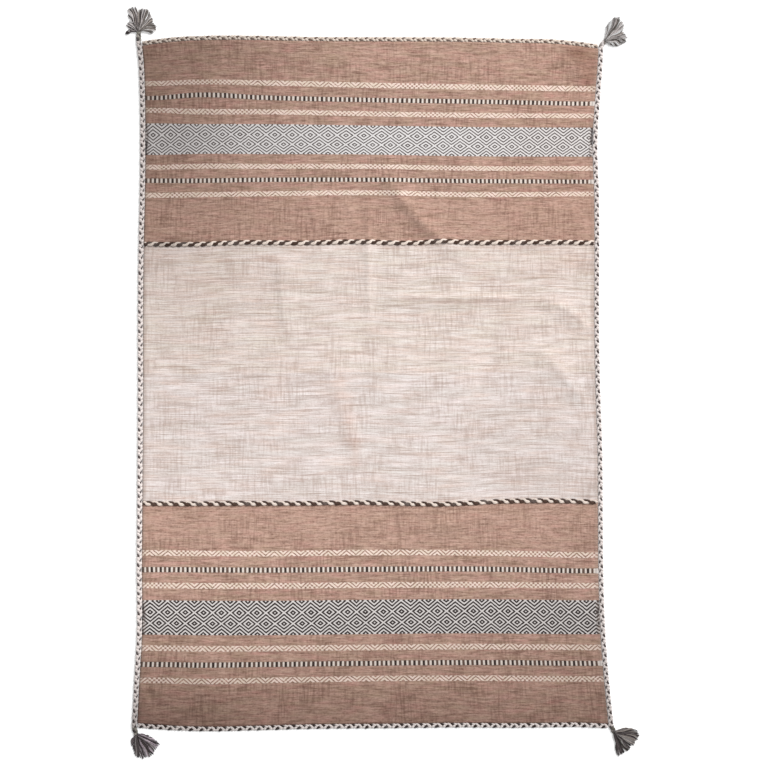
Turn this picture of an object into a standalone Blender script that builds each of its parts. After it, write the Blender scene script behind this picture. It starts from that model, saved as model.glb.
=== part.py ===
"""A flat-woven kilim rug, 1.20 m by 1.80 m, lying face up on the floor.

The rug is one woven cloth with flat braids sewn along its four edges, two thicker plied cords
couched onto its face where the brown ends meet the cream middle, and a yarn tassel at each corner.
The frame is the middle of the underside: +X to the rug's right, +Y to its top end, +Z up.
"""

import bmesh
import bpy
import numpy as np

MM = 0.001

# Clearances between the pieces
GAP = 0.3 * MM
EDGE_CLEARANCE = 0.6 * MM

# Cloth
RUG_WIDTH = 1200 * MM
RUG_LENGTH = 1800 * MM
CLOTH_THICKNESS = 3.0 * MM
CELLS_ACROSS = 28
CELLS_ALONG = 40
MIDDLE_FINENESS = 0.30
GRID_SHIFT = 0.02
OUTLINE_PASSES = 3
CREAM_FIELD_TOP = 363 * MM
CREAM_FIELD_BOTTOM = -314 * MM

# Braids along the edges, and the cords on the face
SIDE_BRAID_WIDTH = 14.4 * MM
SIDE_BRAID_HEIGHT = 6.5 * MM
SIDE_BRAID_PITCH = 25.3 * MM
END_BRAID_WIDTH = 12.0 * MM
END_BRAID_HEIGHT = 6.0 * MM
END_BRAID_PITCH = 25.6 * MM
BRAID_SWAY = 0.7 * MM
FACE_CORD_WIDTH = 13.0 * MM
FACE_CORD_HEIGHT = 5.0 * MM
FACE_CORD_PITCH = 30.4 * MM
FACE_CORD_SWAY = 1.1 * MM
FACE_CORD_WAIST = 0.86
ABOVE_THE_RUG = 100 * MM

# Tassels
NECK_WIDTH = 12.5 * MM
NECK_HEIGHT = 7.0 * MM
NECK_STRAIGHT = 4.0 * MM
NECK_OVERRUN = 5.0 * MM
NECK_SCALES = np.array([1.0, 1.02, 1.0, 1.05, 0.7])
LOCK_WIDTH = 7.4 * MM
LOCK_HEIGHT = 3.6 * MM
LOCK_ROOT_SCALE = 0.5
LOCK_ROOT_LIFT = 2.0 * MM
LOCK_ROOT_SPREAD = 0.55 * NECK_WIDTH
LOWER_LOCKS = 12
UPPER_LOCKS = 10
UPPER_LOCK_LIFT = 4.2 * MM
UPPER_LOCK_REACH = 0.84
LOCK_POINTS = 5

# The rug's outer edge over the side braids, in millimetres: how far along the rug, and where the
# left and right edges are there. It widens towards the bottom end.
SIDE_EDGES = np.array(
    [
        (-905, -616, 636),
        (-786, -610, 622),
        (-661, -604, 614),
        (-473, -603, 611),
        (-348, -605, 607),
        (-192, -602, 606),
        (-5, -600, 601),
        (183, -600, 596),
        (370, -600, 601),
        (495, -597, 598),
        (620, -595, 593),
        (745, -595, 598),
        (840, -600, 605),
        (905, -607, 607),
    ],
    dtype=[("along", float), ("left", float), ("right", float)],
)

# The outer edge over the end braids: how far across, and where the top and bottom edges are there.
END_EDGES = np.array(
    [
        (-610, 885, -897),
        (-532, 897, -903),
        (-407, 902, -908),
        (-313, 902, -905),
        (-157, 899, -900),
        (62, 897, -895),
        (249, 897, -893),
        (374, 894, -895),
        (468, 892, -898),
        (531, 889, -896),
        (620, 879, -898),
    ],
    dtype=[("across", float), ("top", float), ("bottom", float)],
)

# Where the two face cords wander along the rug, by how far across they are.
FACE_CORDS = np.array(
    [
        (-590, 360, -315),
        (-465, 359, -316),
        (-320, 364, -315),
        (-173, 363, -315),
        (-27, 366, -313),
        (120, 363, -316),
        (192, 367, -317),
        (265, 364, -314),
        (340, 364, -310),
        (484, 365, -308),
        (600, 363, -312),
    ],
    dtype=[("across", float), ("upper", float), ("lower", float)],
)

# The soft ridges left in the cloth: start, middle and end of each crest, how far the ridge spreads
# to either side of its crest, and how high it stands.
RIDGES = np.array(
    [
        (0, 520, 0, 330, 0, 110, 30, 2.2),
        (22, 590, 96, 436, 262, 324, 52, 6.0),
        (10, 217, 300, 218, 462, 214, 34, 2.8),
        (430, 222, 520, 196, 584, 120, 40, 3.0),
        (420, 105, 500, 30, 580, -66, 46, 3.4),
        (-92, 40, -64, -90, -24, -215, 36, 2.6),
        (-224, 352, -212, 230, -200, 96, 40, 2.0),
        (-146, 520, -136, 460, -120, 392, 44, 2.4),
        (110, -398, 262, -372, 410, -318, 46, 5.0),
        (6, -350, 8, -600, 6, -880, 30, 2.0),
        (-400, 880, -390, 640, -410, 400, 150, 6.0),
        (-420, -640, -430, -760, -420, -880, 130, 4.0),
        (500, 872, 548, 836, 584, 780, 46, 4.0),
    ],
    dtype=[
        ("start_x", float),
        ("start_y", float),
        ("middle_x", float),
        ("middle_y", float),
        ("end_x", float),
        ("end_y", float),
        ("spread", float),
        ("height", float),
    ],
)
RIDGE_SAMPLES = 13
RIDGE_FADE = 0.25
RIDGE_END_SHARE = 0.15
FLAT_BORDER = 45 * MM

# Each tassel's fan, anticlockwise: the direction and reach of its locks, and how far they bow.
FAN_COLUMNS = [("angle", float), ("reach", float), ("bow", float)]
TOP_LEFT_FAN = np.array(
    [
        (-14, 24, 3),
        (0, 36, 5),
        (16, 48, 8),
        (40, 43, 4),
        (58, 53, -3),
        (76, 60, -4),
        (93, 60, -1),
        (111, 64, 2),
        (128, 42, 3),
        (151, 38, 3),
        (197, 37, -5),
    ],
    dtype=FAN_COLUMNS,
)
TOP_RIGHT_FAN = np.array(
    [
        (-38, 18, 3),
        (-17, 34, 5),
        (0, 52, 6),
        (10, 62, 6),
        (29, 56, 3),
        (42, 66, 2),
        (57, 73, 1),
        (64, 67, -1),
        (73, 55, -2),
        (86, 34, -3),
    ],
    dtype=FAN_COLUMNS,
)
BOTTOM_LEFT_FAN = np.array(
    [
        (230, 24, -3),
        (258, 38, -4),
        (271, 57, -5),
        (281, 64, -3),
        (293, 64, -1),
        (304, 66, 1),
        (315, 65, 2),
        (330, 62, 3),
        (339, 65, 4),
        (352, 38, 4),
        (363, 24, 2),
    ],
    dtype=FAN_COLUMNS,
)
BOTTOM_RIGHT_FAN = np.array(
    [
        (276, 44, -2),
        (281, 63, -2),
        (293, 58, -2),
        (309, 58, -1),
        (322, 55, 0),
        (331, 58, 1),
        (344, 61, 2),
        (356, 62, 4),
        (363, 60, 5),
        (371, 44, 5),
        (384, 26, 4),
    ],
    dtype=FAN_COLUMNS,
)

# Corner, tassel root across and along in millimetres, and its fan.
TASSELS = {
    "tassel_top_left": (-597, 914, TOP_LEFT_FAN),
    "tassel_top_right": (616, 888, TOP_RIGHT_FAN),
    "tassel_bottom_left": (-603, -917, BOTTOM_LEFT_FAN),
    "tassel_bottom_right": (641, -912, BOTTOM_RIGHT_FAN),
}
SIDE_BRAID_ENDS = {"left": (-899 * MM, 888 * MM), "right": (-895 * MM, 874 * MM)}

# Cross-sections as share of width and share of height, standing on the floor line
BRAID_SECTION = ((-0.5, 0.0), (0.5, 0.0), (0.44, 0.62), (0.0, 1.0), (-0.44, 0.62))
LOCK_SECTION = ((-0.5, 0.0), (0.5, 0.0), (0.34, 1.0), (-0.34, 1.0))

COLOURS = {
    "brown_cloth": (0.42, 0.29, 0.23),
    "cream_cloth": (0.74, 0.66, 0.58),
    "edge_braid": (0.56, 0.52, 0.48),
    "face_cord": (0.33, 0.27, 0.24),
    "tassel_yarn": (0.24, 0.22, 0.21),
}
YARN_ROUGHNESS = 0.9


def clear_scene():
    """Remove whatever the scene holds."""
    for obj in list(bpy.data.objects):
        bpy.data.objects.remove(obj, do_unlink=True)


def make_collection(name):
    """A new collection in the scene."""
    collection = bpy.data.collections.new(name)
    bpy.context.scene.collection.children.link(collection)
    return collection


def make_material(name):
    """A matt yarn material in the named colour."""
    material = bpy.data.materials.new(name)
    material.use_nodes = True
    shader = material.node_tree.nodes["Principled BSDF"]
    shader.inputs["Base Color"].default_value = (*COLOURS[name], 1.0)
    shader.inputs["Roughness"].default_value = YARN_ROUGHNESS
    shader.inputs["Metallic"].default_value = 0.0
    material.diffuse_color = (*COLOURS[name], 1.0)
    return material


def smooth_through(at, keys, values):
    """Cubic through the table's values: each row keeps the slope between its neighbours."""
    slopes = np.gradient(values, keys)
    row = np.clip(np.searchsorted(keys, at) - 1, 0, len(keys) - 2)
    step = keys[row + 1] - keys[row]
    share = np.clip((at - keys[row]) / step, 0.0, 1.0)
    rest = 1.0 - share
    from_start = (1 + 2 * share) * rest**2 * values[row] + share * rest**2 * step * slopes[row]
    to_end = share**2 * (3 - 2 * share) * values[row + 1] - share**2 * rest * step * slopes[row + 1]
    return from_start + to_end


def side_edge(side, along):
    """The rug's outer left or right edge, metres across."""
    return smooth_through(along / MM, SIDE_EDGES["along"], SIDE_EDGES[side]) * MM


def end_edge(end, across):
    """The rug's outer top or bottom edge, metres along."""
    return smooth_through(across / MM, END_EDGES["across"], END_EDGES[end]) * MM


def cloth_side(side, along):
    """The cloth's own edge, inside the side braid."""
    inwards = 1.0 if side == "left" else -1.0
    return side_edge(side, along) + inwards * (SIDE_BRAID_WIDTH + 2 * BRAID_SWAY + EDGE_CLEARANCE)


def cloth_end(end, across):
    """The cloth's own edge, inside the end braid."""
    inwards = -1.0 if end == "top" else 1.0
    return end_edge(end, across) + inwards * (END_BRAID_WIDTH + 2 * BRAID_SWAY + EDGE_CLEARANCE)


def ridge_height(x, y, ridge):
    """Height of one ridge: a squared cosine of the distance to its curved crest, faded at both ends."""
    t = np.linspace(0.0, 1.0, RIDGE_SAMPLES)
    weights = np.stack([(1 - t) ** 2, 2 * t * (1 - t), t**2])
    crest_x = weights.T @ np.array([ridge["start_x"], ridge["middle_x"], ridge["end_x"]]) * MM
    crest_y = weights.T @ np.array([ridge["start_y"], ridge["middle_y"], ridge["end_y"]]) * MM
    distance = np.hypot(x[:, None] - crest_x, y[:, None] - crest_y)
    nearest = distance.argmin(axis=1)
    fade = np.clip(np.minimum(t, 1 - t)[nearest] / RIDGE_FADE, RIDGE_END_SHARE, 1.0)
    closeness = np.clip(distance.min(axis=1) / (ridge["spread"] * MM), 0.0, 1.0)
    return ridge["height"] * MM * fade * np.cos(0.5 * np.pi * closeness) ** 2


def cloth_lift(x, y):
    """How far the cloth's underside stands off the floor: its highest ridge, and flat at the edges."""
    lift = np.max([ridge_height(x, y, ridge) for ridge in RIDGES], axis=0)
    to_side = np.minimum(x - cloth_side("left", y), cloth_side("right", y) - x)
    to_end = np.minimum(y - cloth_end("bottom", x), cloth_end("top", x) - y)
    border = np.clip(np.minimum(to_side, to_end) / FLAT_BORDER, 0.0, 1.0)
    return lift * border**2 * (3 - 2 * border)


def make_cloth(collection, brown, cream):
    """The woven cloth: an open grid drawn to the rug's outline and ridges, then given its thickness.

    The grid's lines are shifted a little, so that none runs through the frame's origin.
    """
    grid = bmesh.new()
    bmesh.ops.create_grid(grid, x_segments=CELLS_ACROSS, y_segments=CELLS_ALONG, size=1.0)
    flat = np.array([vertex.co[:] for vertex in grid.verts])
    across, along = flat[:, 0], flat[:, 1]
    shift_across = MIDDLE_FINENESS * (across**3 - across) + GRID_SHIFT * (1 - across**2)
    share_across = 0.5 + 0.5 * (across + shift_across)
    share_along = 0.5 + 0.5 * (along + GRID_SHIFT * (1 - along**2))
    y = RUG_LENGTH * (share_along - 0.5)
    x = RUG_WIDTH * (share_across - 0.5)
    for _ in range(OUTLINE_PASSES):
        left = cloth_side("left", y)
        x = left + share_across * (cloth_side("right", y) - left)
        bottom = cloth_end("bottom", x)
        y = bottom + share_along * (cloth_end("top", x) - bottom)
    z = cloth_lift(x, y)
    for vertex, place in zip(grid.verts, zip(x, y, z)):
        vertex.co = place
    mesh = bpy.data.meshes.new("cloth")
    mesh.materials.append(brown)
    mesh.materials.append(cream)
    for face in grid.faces:
        middle = face.calc_center_median().y
        face.material_index = int(CREAM_FIELD_BOTTOM < middle < CREAM_FIELD_TOP)
        face.smooth = True
    grid.to_mesh(mesh)
    grid.free()
    cloth = bpy.data.objects.new("cloth", mesh)
    collection.objects.link(cloth)
    solidify = cloth.modifiers.new("thickness", "SOLIDIFY")
    solidify.thickness = CLOTH_THICKNESS
    solidify.offset = 1.0
    solidify.use_rim = True
    return cloth


def section_curve(width, height, section):
    """A closed cross-section that stands on its own origin, to be carried along a path."""
    data = bpy.data.curves.new("section", "CURVE")
    data.dimensions = "2D"
    data.fill_mode = "NONE"
    spline = data.splines.new("POLY")
    spline.points.add(len(section) - 1)
    for point, (side, up) in zip(spline.points, section):
        point.co = (side * width, up * height, 0.0, 1.0)
    spline.use_cyclic_u = True
    obj = bpy.data.objects.new("section", data)
    bpy.context.scene.collection.objects.link(obj)
    return obj


def carried_mesh(name, paths, section):
    """Meshes of a cross-section carried upright along each path; a path is points and their scales."""
    data = bpy.data.curves.new(name, "CURVE")
    data.dimensions = "3D"
    data.twist_mode = "Z_UP"
    data.bevel_mode = "OBJECT"
    data.bevel_object = section
    data.use_fill_caps = True
    for points, scales in paths:
        spline = data.splines.new("POLY")
        spline.points.add(len(points) - 1)
        for point, place, scale in zip(spline.points, points, scales):
            point.co = (*place, 1.0)
            point.radius = scale
    curve = bpy.data.objects.new(name, data)
    bpy.context.scene.collection.objects.link(curve)
    bpy.context.view_layer.update()
    depsgraph = bpy.context.evaluated_depsgraph_get()
    mesh = bpy.data.meshes.new_from_object(curve.evaluated_get(depsgraph))
    bpy.data.objects.remove(curve, do_unlink=True)
    welded = bmesh.new()
    welded.from_mesh(mesh)
    bmesh.ops.remove_doubles(welded, verts=welded.verts, dist=0.001 * MM)
    bmesh.ops.recalc_face_normals(welded, faces=welded.faces)
    welded.to_mesh(mesh)
    welded.free()
    return mesh


def add_object(collection, name, mesh, material):
    """An object of the mesh in one material."""
    mesh.materials.clear()
    mesh.materials.append(material)
    obj = bpy.data.objects.new(name, mesh)
    collection.objects.link(obj)
    return obj


def braid_stations(start, end, pitch):
    """Stations half a pitch apart from start to end, and which way the braid sways at each."""
    steps = max(4, int(round(abs(end - start) / (pitch / 2))))
    stations = np.linspace(start, end, steps + 1)
    sway = np.where(np.arange(steps + 1) % 2 == 0, 1.0, -1.0)
    sway[:2] = 0.0
    sway[-2:] = 0.0
    return stations, sway


def side_braid_path(side):
    """The side braid's middle line, half its width inside the rug's outer edge, from bottom to top."""
    start, end = SIDE_BRAID_ENDS[side]
    along, sway = braid_stations(start, end, SIDE_BRAID_PITCH)
    inwards = 1.0 if side == "left" else -1.0
    middle = side_edge(side, along) + inwards * (0.5 * SIDE_BRAID_WIDTH + BRAID_SWAY)
    return np.stack([middle + sway * BRAID_SWAY, along, np.zeros_like(along)], axis=1)


def make_side_braid(collection, side, section, material):
    """The braid along one side."""
    points = side_braid_path(side)
    name = "side_braid_" + side
    mesh = carried_mesh(name, [(points, np.ones(len(points)))], section)
    return add_object(collection, name, mesh, material)


def make_end_braid(collection, end, section, material):
    """The braid along one end, between the two side braids."""
    inwards = -1.0 if end == "top" else 1.0
    over_width = inwards * np.array([0.0, END_BRAID_WIDTH + 2 * BRAID_SWAY])
    start = cloth_side("left", end_edge(end, SIDE_EDGES["left"][0] * MM) + over_width).max()
    stop = cloth_side("right", end_edge(end, SIDE_EDGES["right"][0] * MM) + over_width).min()
    across, sway = braid_stations(start, stop, END_BRAID_PITCH)
    middle = end_edge(end, across) + inwards * (0.5 * END_BRAID_WIDTH + BRAID_SWAY)
    points = np.stack([across, middle + sway * BRAID_SWAY, np.zeros_like(across)], axis=1)
    name = "end_braid_" + end
    mesh = carried_mesh(name, [(points, np.ones(len(points)))], section)
    return add_object(collection, name, mesh, material)


def cloth_face_height(face, x, y):
    """Height of the cloth's upper face under the cord's base, found by looking straight down on it."""
    heights = []
    for side in (-0.55, 0.0, 0.55):
        hit, place, _, _ = face.ray_cast((x, y + side * FACE_CORD_WIDTH, ABOVE_THE_RUG), (0.0, 0.0, -1.0))
        heights.append(place.z if hit else CLOTH_THICKNESS)
    return max(heights)


def resting_heights(face, across, along):
    """Heights of the cord's stations, each raised until no stretch between two dips under the face."""
    heights = np.array([cloth_face_height(face, x, y) for x, y in zip(across, along)])
    for share in (0.25, 0.5, 0.75):
        between_x = (1 - share) * across[:-1] + share * across[1:]
        between_y = (1 - share) * along[:-1] + share * along[1:]
        face_height = np.array([cloth_face_height(face, x, y) for x, y in zip(between_x, between_y)])
        chord = (1 - share) * heights[:-1] + share * heights[1:]
        short = np.clip(face_height - chord, 0.0, None)
        heights[:-1] += short
        heights[1:] += short
    return heights


def make_face_cord(collection, which, cloth, section, material):
    """A plied cord couched across the face where brown meets cream; it follows the cloth's ridges."""
    depsgraph = bpy.context.evaluated_depsgraph_get()
    face = cloth.evaluated_get(depsgraph)
    height = FACE_CORDS[which].mean() * MM
    across, sway = braid_stations(cloth_side("left", height), cloth_side("right", height), FACE_CORD_PITCH)
    middle = smooth_through(across / MM, FACE_CORDS["across"], FACE_CORDS[which]) * MM
    along = middle + sway * FACE_CORD_SWAY
    points = np.stack([across, along, resting_heights(face, across, along) + GAP], axis=1)
    scales = np.where(sway > 0, 1.0, FACE_CORD_WAIST)
    name = "face_cord_" + which
    mesh = carried_mesh(name, [(points, scales)], section)
    return add_object(collection, name, mesh, material)


def neck_path(braid_end, before_end, root):
    """The neck's points: straight on out of the braid for a little, then round to the fan's root."""
    out = (braid_end - before_end) / np.linalg.norm(braid_end - before_end)
    start = braid_end + out * GAP
    turn = start + out * NECK_STRAIGHT
    bend = (root - turn) / np.linalg.norm(root - turn)
    points = np.array([start, turn, 0.5 * (turn + root), root, root + bend * NECK_OVERRUN])
    return points, NECK_SCALES


def lock_path(root, fan, share, spread_axis, lift, reach_share):
    """One lock of yarn: a quadratic curve from the root to its place in the fan, bowed to one side."""
    order = np.linspace(0.0, 1.0, len(fan))
    angle = np.radians(np.interp(share, order, fan["angle"]))
    reach = np.interp(share, order, fan["reach"]) * reach_share * MM
    bow = np.interp(share, order, fan["bow"]) * MM
    heading = np.array([np.cos(angle), np.sin(angle), 0.0])
    beside = np.array([-heading[1], heading[0], 0.0])
    start = root + spread_axis * (share - 0.5) * LOCK_ROOT_SPREAD
    tip = root + heading * reach
    turn = 0.5 * (start + tip) + beside * bow
    t = np.linspace(0.0, 1.0, LOCK_POINTS)[:, None]
    points = (1 - t) ** 2 * start + 2 * t * (1 - t) * turn + t**2 * tip
    settle = np.clip(1.0 - 2.0 * t[:, 0], 0.0, 1.0)
    points[:, 2] = lift if lift else LOCK_ROOT_LIFT * settle
    scales = LOCK_ROOT_SCALE + (1.0 - LOCK_ROOT_SCALE) * t[:, 0]
    return points, scales


def tassel_locks(root, fan):
    """Two layers of locks: the lower lies on the floor, and the upper lies level just above it."""
    middle = np.radians(0.5 * (fan["angle"][0] + fan["angle"][-1]))
    spread_axis = np.array([-np.sin(middle), np.cos(middle), 0.0])
    lower = np.linspace(0.0, 1.0, LOWER_LOCKS)
    upper = (np.arange(UPPER_LOCKS) + 0.5) / UPPER_LOCKS
    locks = [lock_path(root, fan, share, spread_axis, 0.0, 1.0) for share in lower]
    return locks + [
        lock_path(root, fan, share, spread_axis, UPPER_LOCK_LIFT, UPPER_LOCK_REACH) for share in upper
    ]


def make_tassel(collection, name, neck_section, lock_section, material):
    """A tassel: the neck that leaves the side braid, united with the locks that fan out of it."""
    root_x, root_y, fan = TASSELS[name]
    braid = side_braid_path("left" if root_x < 0 else "right")
    if root_y < 0:
        braid = braid[::-1]
    root = np.array([root_x * MM, root_y * MM, 0.0])
    neck = neck_path(braid[-1], braid[-2], root)
    tassel = add_object(collection, name, carried_mesh(name, [neck], neck_section), material)
    lock_mesh = carried_mesh(name + "_locks", tassel_locks(root, fan), lock_section)
    locks = add_object(collection, name + "_locks", lock_mesh, material)
    union = tassel.modifiers.new("locks", "BOOLEAN")
    union.operation = "UNION"
    union.solver = "EXACT"
    union.use_self = True
    union.object = locks
    bpy.context.view_layer.update()
    depsgraph = bpy.context.evaluated_depsgraph_get()
    joined = bpy.data.meshes.new_from_object(tassel.evaluated_get(depsgraph))
    tassel.modifiers.clear()
    tassel.data = joined
    bpy.data.objects.remove(locks, do_unlink=True)
    return tassel


def main():
    """Build the rug."""
    clear_scene()
    rug = make_collection("kilim_rug")
    brown = make_material("brown_cloth")
    cream = make_material("cream_cloth")
    braid_yarn = make_material("edge_braid")
    cord_yarn = make_material("face_cord")
    tassel_yarn = make_material("tassel_yarn")

    cloth = make_cloth(rug, brown, cream)
    bpy.context.view_layer.update()
    side_section = section_curve(SIDE_BRAID_WIDTH, SIDE_BRAID_HEIGHT, BRAID_SECTION)
    end_section = section_curve(END_BRAID_WIDTH, END_BRAID_HEIGHT, BRAID_SECTION)
    cord_section = section_curve(FACE_CORD_WIDTH, FACE_CORD_HEIGHT, BRAID_SECTION)
    neck_section = section_curve(NECK_WIDTH, NECK_HEIGHT, BRAID_SECTION)
    lock_section = section_curve(LOCK_WIDTH, LOCK_HEIGHT, LOCK_SECTION)

    for side in ("left", "right"):
        make_side_braid(rug, side, side_section, braid_yarn)
    for end in ("top", "bottom"):
        make_end_braid(rug, end, end_section, braid_yarn)
    for which in ("upper", "lower"):
        make_face_cord(rug, which, cloth, cord_section, cord_yarn)
    for name in TASSELS:
        make_tassel(rug, name, neck_section, lock_section, tassel_yarn)

    for section in (side_section, end_section, cord_section, neck_section, lock_section):
        bpy.data.objects.remove(section, do_unlink=True)


main()
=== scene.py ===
"""The looks of a kilim rug: its woven cloth, plaited edges, couched cords and yarn tassels.

Everything is in metres in the rug's frame: +X to its right, +Y to its top end, +Z up off the floor.
Tables of places are in millimetres. A surface is a formula over whole numpy arrays.
"""

import bpy
import numpy as np
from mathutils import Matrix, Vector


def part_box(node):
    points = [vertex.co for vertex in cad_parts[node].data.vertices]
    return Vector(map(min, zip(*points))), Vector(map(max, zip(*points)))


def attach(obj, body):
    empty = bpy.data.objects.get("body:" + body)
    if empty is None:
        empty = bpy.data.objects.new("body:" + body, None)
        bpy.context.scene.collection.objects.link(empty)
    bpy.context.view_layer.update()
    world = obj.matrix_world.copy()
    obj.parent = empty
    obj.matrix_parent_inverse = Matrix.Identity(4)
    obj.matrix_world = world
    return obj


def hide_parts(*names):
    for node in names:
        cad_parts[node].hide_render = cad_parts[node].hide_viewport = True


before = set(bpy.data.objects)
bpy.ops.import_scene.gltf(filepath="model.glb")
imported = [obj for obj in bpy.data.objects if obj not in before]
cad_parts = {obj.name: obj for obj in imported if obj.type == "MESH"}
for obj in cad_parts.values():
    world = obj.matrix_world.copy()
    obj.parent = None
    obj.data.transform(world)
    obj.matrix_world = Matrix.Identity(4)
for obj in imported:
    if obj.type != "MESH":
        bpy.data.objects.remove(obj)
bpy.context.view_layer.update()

MM = 0.001
UP = np.array([0.0, 0.0, 1.0])
TURN = 2 * np.pi


def table(columns, rows):
    """Rows of numbers, with a name for each column."""
    return np.array(rows, dtype=[(column, float) for column in columns.split()])


def linear(red, green, blue):
    """Linear colour from the 0 to 255 numbers of a colour as it is seen on a screen."""
    share = np.array([red, green, blue]) / 255.0
    return np.where(share <= 0.04045, share / 12.92, ((share + 0.055) / 1.055) ** 2.4)


# Cloth
CLOTH_THICKNESS = 3.0 * MM
CLOTH_CLEARANCE = 0.6 * MM
UNDER_BRAID = 2.0 * MM
FACE_CELLS = (240, 360)
BACK_CELLS = (80, 120)
OUTLINE_PASSES = 3
FLAT_BORDER = 45 * MM
ABOUT_LENGTH = 1800 * MM

# Plaits and cords: the plaits' heights come from the frame's solids, the rest from the photograph
SIDE_PLAIT_WIDTH = 14.4 * MM
END_PLAIT_WIDTH = 12.0 * MM
CORD_WIDTH = 12.4 * MM
PLAIT_SWAY = 0.7 * MM
SIDE_PITCH = 25.4 * MM
END_PITCH = 25.6 * MM
CORD_PITCH = 30.0 * MM
SIDE_PLAIT_SIZE = (SIDE_PLAIT_WIDTH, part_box("side_braid_left")[1].z)
END_PLAIT_SIZE = (END_PLAIT_WIDTH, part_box("end_braid_top")[1].z)
CORD_SIZE = (CORD_WIDTH, 5.0 * MM)
NECK_WIDTH = 12.5 * MM
NECK_HEIGHT = 7.0 * MM
SIDE_LINE_POINTS = 240
END_LINE_POINTS = 200
CORD_LINE_POINTS = 260
NECK_LINE_POINTS = 24
STEPS_PER_PITCH = 14
STRAND_SIDES = 8
STRAND_THICKNESS = 0.235
STRAND_WIDTH = 0.235
CORD_STRAND_WIDTH = 0.25
PITCH_DRIFTS = ((0.09, 0.31), (0.06, 0.13))
SWELLS = ((0.08, 0.047), (0.06, 0.019))
WHITE_FULLNESS = 1.08
SIDE_DARK_FULLNESS = 0.76

# Bake map cells: columns, rows, folds of each tube, lowest and highest v, and how much of a cell is filled
SIDE_CELLS = (24, 1, 8, 0.0, 1.0)
END_CELLS = (18, 1, 6, 0.0, 1.0)
CORD_CELLS = (12, 1, 6, 0.0, 1.0)
NECK_CELLS = (6, 1, 2, 0.9, 1.0)
YARN_CELLS = (20, 12, 1, 0.0, 0.89)
CELL_FILL = 0.92

# Tassels
YARNS = 230
STRANDS = 60
LOCKS = 14
YARN_STEPS = 12
YARN_SIDES = 4
YARN_RADIUS = 1.0 * MM
LOWEST_YARN = 1.3 * YARN_RADIUS
NECK_FILL = 0.36
NECK_STRAIGHT = 4.0 * MM
NECK_OVERRUN = 5.0 * MM

# Weave: the diamond repeat across the cloth, and how many repeats lie to the left of each share of its width
REPEAT = 46.2 * MM
REPEAT_SHARES = np.array([0.0, 0.33, 0.65, 0.84, 1.0])
REPEATS_THERE = np.array([-0.40, 8.03, 16.08, 21.0, 25.2])
SELVEDGE = 11.0 * MM
DIAMOND_ROW = 26.6 * MM
ZIGZAG_LINE = 9.2 * MM
WARP_PITCH = 4.0 * MM
WEFT_PITCH = 1.5 * MM

# Which way is inwards from each edge of the rug.
INWARDS = {"left": 1.0, "right": -1.0, "top": -1.0, "bottom": 1.0}

# The rug's outer edge over the side plaits, in millimetres, by how far along the rug it is.
SIDE_EDGES = table("along left right", [
    (-905, -617, 641), (-786, -611, 629), (-661, -604, 619), (-473, -604, 613), (-348, -603, 612),
    (-192, -602, 611), (-5, -601, 605), (183, -601, 602), (370, -599, 603), (495, -596, 602),
    (620, -595, 598), (745, -596, 605), (840, -600, 612), (905, -607, 614),
])

# The outer edge over the end plaits, by how far across the rug it is.
END_EDGES = table("across top bottom", [
    (-610, 885, -899), (-532, 897, -905), (-407, 904, -909), (-313, 904, -907), (-157, 901, -903),
    (62, 900, -901), (249, 899, -899), (374, 896, -900), (468, 895, -899), (531, 890, -898),
    (620, 878, -901),
])

# Where the two couched cords wander along the rug.
FACE_CORDS = table("across upper lower", [
    (-590, 360, -315), (-465, 359, -316), (-320, 364, -315), (-173, 363, -315), (-27, 366, -313),
    (120, 363, -316), (192, 367, -317), (265, 364, -314), (340, 364, -310), (484, 365, -308),
    (600, 363, -312),
])

# Woven bands: their even place in the weave, and where each wanders along the rug at six places across.
BAND_PLACES = np.array([-540, -465, -270, 0, 270, 540])
BANDS = [
    (-775, (-776, -778, -776, -771, -770, -772)),
    (-735, (-735, -736, -735, -732, -730, -732)),
    (-697, (-692, -693, -693, -690, -688, -690)),
    (-622, (-613, -614, -615, -612, -610, -613)),
    (-545, (-529, -530, -530, -528, -527, -529)),
    (-507, (-488, -488, -489, -487, -486, -491)),
    (-467, (-444, -445, -446, -443, -444, -450)),
    (467, (487, 488, 491, 494, 489, 491)),
    (507, (525, 524, 527, 527, 524, 522)),
    (545, (560, 562, 562, 562, 557, 557)),
    (622, (630, 632, 632, 630, 626, 624)),
    (697, (709, 704, 704, 699, 695, 694)),
    (735, (740, 748, 741, 735, 731, 725)),
    (775, (778, 780, 779, 773, 768, 764)),
]
CORD_IN_WEAVE = 339
END_IN_WEAVE = 893
ZIGZAG_BANDS = (467, 545, 697, 775)
DASH_BANDS = (507, 735)
DIAMOND_BANDS = (622,)
ZIGZAG_HALF = 6.8 * MM
DASH_HALF = 6.5 * MM
DIAMOND_HALF = 41.8 * MM

# Places painted darker: painted shade where the light falls off at the top left, towards the bottom end and
# on the lower right, at the corners and along folds; also the upper cord's left end. A row with less than
# nought darker is a painted highlight.
# Each row: middle across and along, spread each way, and how much darker.
SPOT_COLUMNS = "across along wide long darker"
PAINTED_SHADE_SPOTS = table(SPOT_COLUMNS, [
    (-620, 950, 400, 690, 0.53), (0, -1000, 1600, 280, 0.55), (-620, -1000, 300, 250, 0.49),
    (554, 856, 38, 26, 0.34), (574, 800, 24, 32, 0.26), (100, -775, 900, 8, -0.07),
    (620, -760, 200, 300, 0.14), (-606, -890, 22, 45, 0.30), (-518, 362, 62, 9, 0.52),
    (380, -610, 500, 160, 0.09), (500, -200, 200, 120, 0.07), (560, -430, 140, 110, 0.07),
    (290, 228, 100, 7, -0.05), (600, 850, 260, 120, -0.07),
])
# How far the painted shade darkens each of red, green and blue.
PAINTED_SHADE_TINT = np.array([0.95, 1.0, 1.01])
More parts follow.
